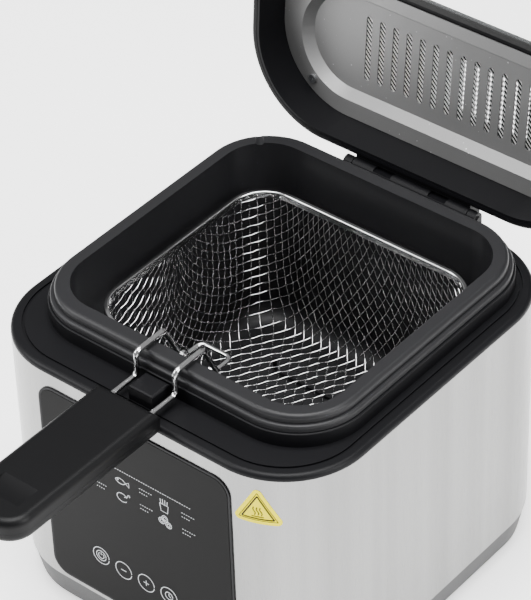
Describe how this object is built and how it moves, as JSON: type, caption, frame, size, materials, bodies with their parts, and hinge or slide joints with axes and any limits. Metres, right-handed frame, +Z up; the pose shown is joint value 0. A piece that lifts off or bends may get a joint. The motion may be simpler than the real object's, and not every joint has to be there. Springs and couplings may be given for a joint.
{
  "type": "deep fryer",
  "caption": "Countertop deep fryer with hinged filter lid, lift-out nonstick pot, lift-out wire basket with folding handle and a touch control panel.",
  "frame": {"origin": "centre of the body's footprint on the table", "axes": "+Z up, -Y is the front with the control panel and the basket handle, +X to the right seen from the front"},
  "size_m": [0.272, 0.4566, 0.4766],
  "materials": {
    "brushed_shell": "vertical brushed satin",
    "plinth_plastic": "fine matte",
    "foot_rubber": "matte",
    "zinc_steel": "zinc plated",
    "black_plastic": "satin moulded",
    "cast_aluminium": "as cast",
    "element_sheath": "oxidised",
    "liner_sheet": "mill finish",
    "panel_glass": "gloss",
    "board_laminate": "solder mask",
    "decal_vinyl": "satin vinyl",
    "lid_plate": "fine blasted",
    "filter_wire": "expanded metal",
    "window_glass": "clear",
    "reset_red": "gloss",
    "nonstick": "satin nonstick coating",
    "chrome_wire": "bright",
    "grip_plastic": "satin moulded"
  },
  "bodies": {
    "base": {"steel_shell": "brushed_shell", "base_plinth": "plinth_plastic", "rubber_feet": "foot_rubber", "base_screws": "zinc_steel", "top_frame": "black_plastic", "handle_guide_block": "black_plastic", "tie_rods": "zinc_steel", "heater_plate": "cast_aluminium", "heating_element": "element_sheath", "heat_shield": "liner_sheet", "shield_pillars": "zinc_steel", "temperature_probe": "zinc_steel", "thermal_cutout": "plinth_plastic", "panel_bezel": "black_plastic", "control_panel": "panel_glass", "control_board": "board_laminate", "power_board": "board_laminate", "board_standoffs": "plinth_plastic", "terminal_block": "plinth_plastic", "cord_gland": "foot_rubber", "reset_guard": "black_plastic", "hot_surface_decal": "decal_vinyl", "hinge_bracket": "black_plastic", "hinge_pin": "zinc_steel"},
    "pot": {"inner_pot": "nonstick"},
    "basket": {"basket_mesh": "chrome_wire", "basket_rim": "chrome_wire", "basket_legs": "chrome_wire", "basket_bracket": "chrome_wire"},
    "handle": {"handle_wire": "chrome_wire", "grip_upper": "grip_plastic", "grip_lower": "grip_plastic", "grip_screws": "zinc_steel"},
    "lid": {"lid_cover": "black_plastic", "lid_liner": "black_plastic", "lid_inner_plate": "lid_plate", "plate_screws": "zinc_steel", "filter_mesh": "filter_wire", "lid_window": "window_glass", "window_gasket": "foot_rubber"},
    "filter_cover": {"filter_cover": "black_plastic"},
    "reset_button": {"reset_button": "reset_red"}
  },
  "joints": [
    {"name": "lid_hinge", "type": "hinge", "parent": "base", "child": "lid", "pos_m": [0, 0.1415, 0.2], "axis": [-1, 0, 0], "range_deg": [-95, 0]},
    {"name": "pot_lift", "type": "slide", "parent": "base", "child": "pot", "axis": [0, 0, 1], "range_m": [0, 0.16]},
    {"name": "basket_lift", "type": "slide", "parent": "pot", "child": "basket", "axis": [0, 0, 1], "range_m": [0, 0.14]},
    {"name": "handle_fold", "type": "hinge", "parent": "basket", "child": "handle", "pos_m": [0, -0.072, 0.1966], "axis": [-1, 0, 0], "range_deg": [0, 90]},
    {"name": "filter_cover_pull", "type": "slide", "parent": "lid", "child": "filter_cover", "axis": [0, 0.9962, -0.0872], "range_m": [0, 0.03]},
    {"name": "reset_press", "type": "slide", "parent": "base", "child": "reset_button", "axis": [0, -1, 0], "range_m": [0, 0.0012], "stiffness_N_per_m": 600}
  ]
}
